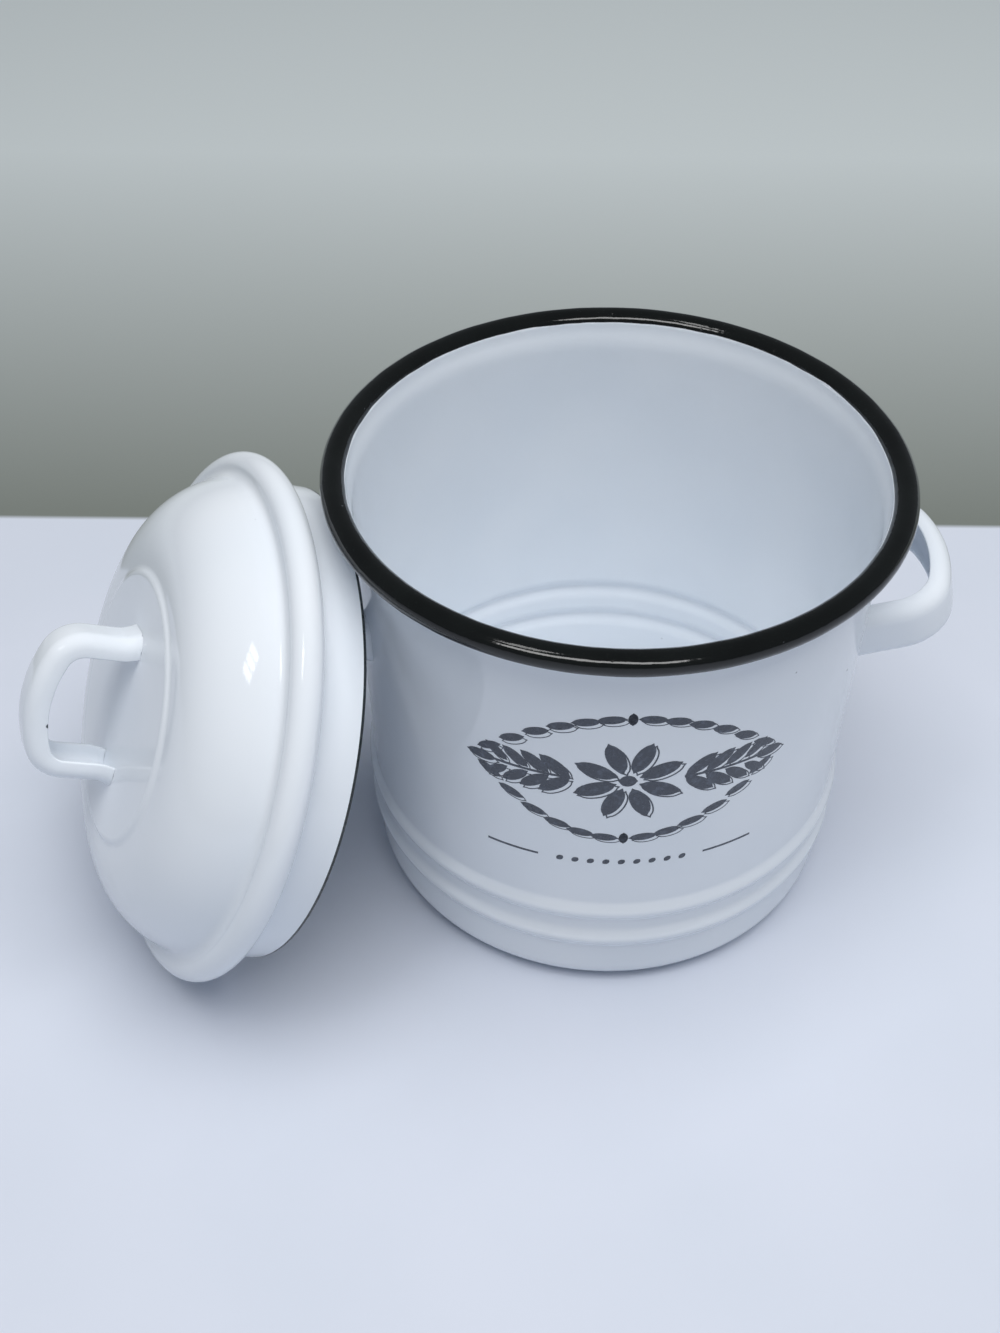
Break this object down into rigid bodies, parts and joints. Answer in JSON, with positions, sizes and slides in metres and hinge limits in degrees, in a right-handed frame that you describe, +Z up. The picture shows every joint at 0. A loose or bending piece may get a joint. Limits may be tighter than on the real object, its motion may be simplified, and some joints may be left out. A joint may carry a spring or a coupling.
{
  "type": "kitchen grease container",
  "caption": "Enamelled steel kitchen grease pot with a rolled dark rim and two channel ear handles; its domed lift-off lid stands beside it, leaning on the wall.",
  "frame": {"origin": "centre of the pot's flat base, on the surface it stands on", "axes": "+Z up along the pot's axis, X through the two ear handles, -Y towards the front of the pot; the lid leans on the -X side"},
  "size_m": [0.2119, 0.1443, 0.1129],
  "materials": {
    "white_enamel": "glossy vitreous enamel on steel sheet",
    "black_enamel": "glossy black vitreous enamel on steel"
  },
  "bodies": {
    "pot": {"pot_shell": "white_enamel", "rim_bead": "black_enamel", "right_handle": "white_enamel", "left_handle": "white_enamel"},
    "lid": {"lid_shell": "white_enamel", "lid_edge": "black_enamel", "lid_handle": "white_enamel"}
  },
  "joints": [
    {"name": "lid_lift", "type": "slide", "parent": "pot", "child": "lid", "axis": [-0.8736, -0.2671, 0.4067], "range_m": [0, 0.12]}
  ]
}
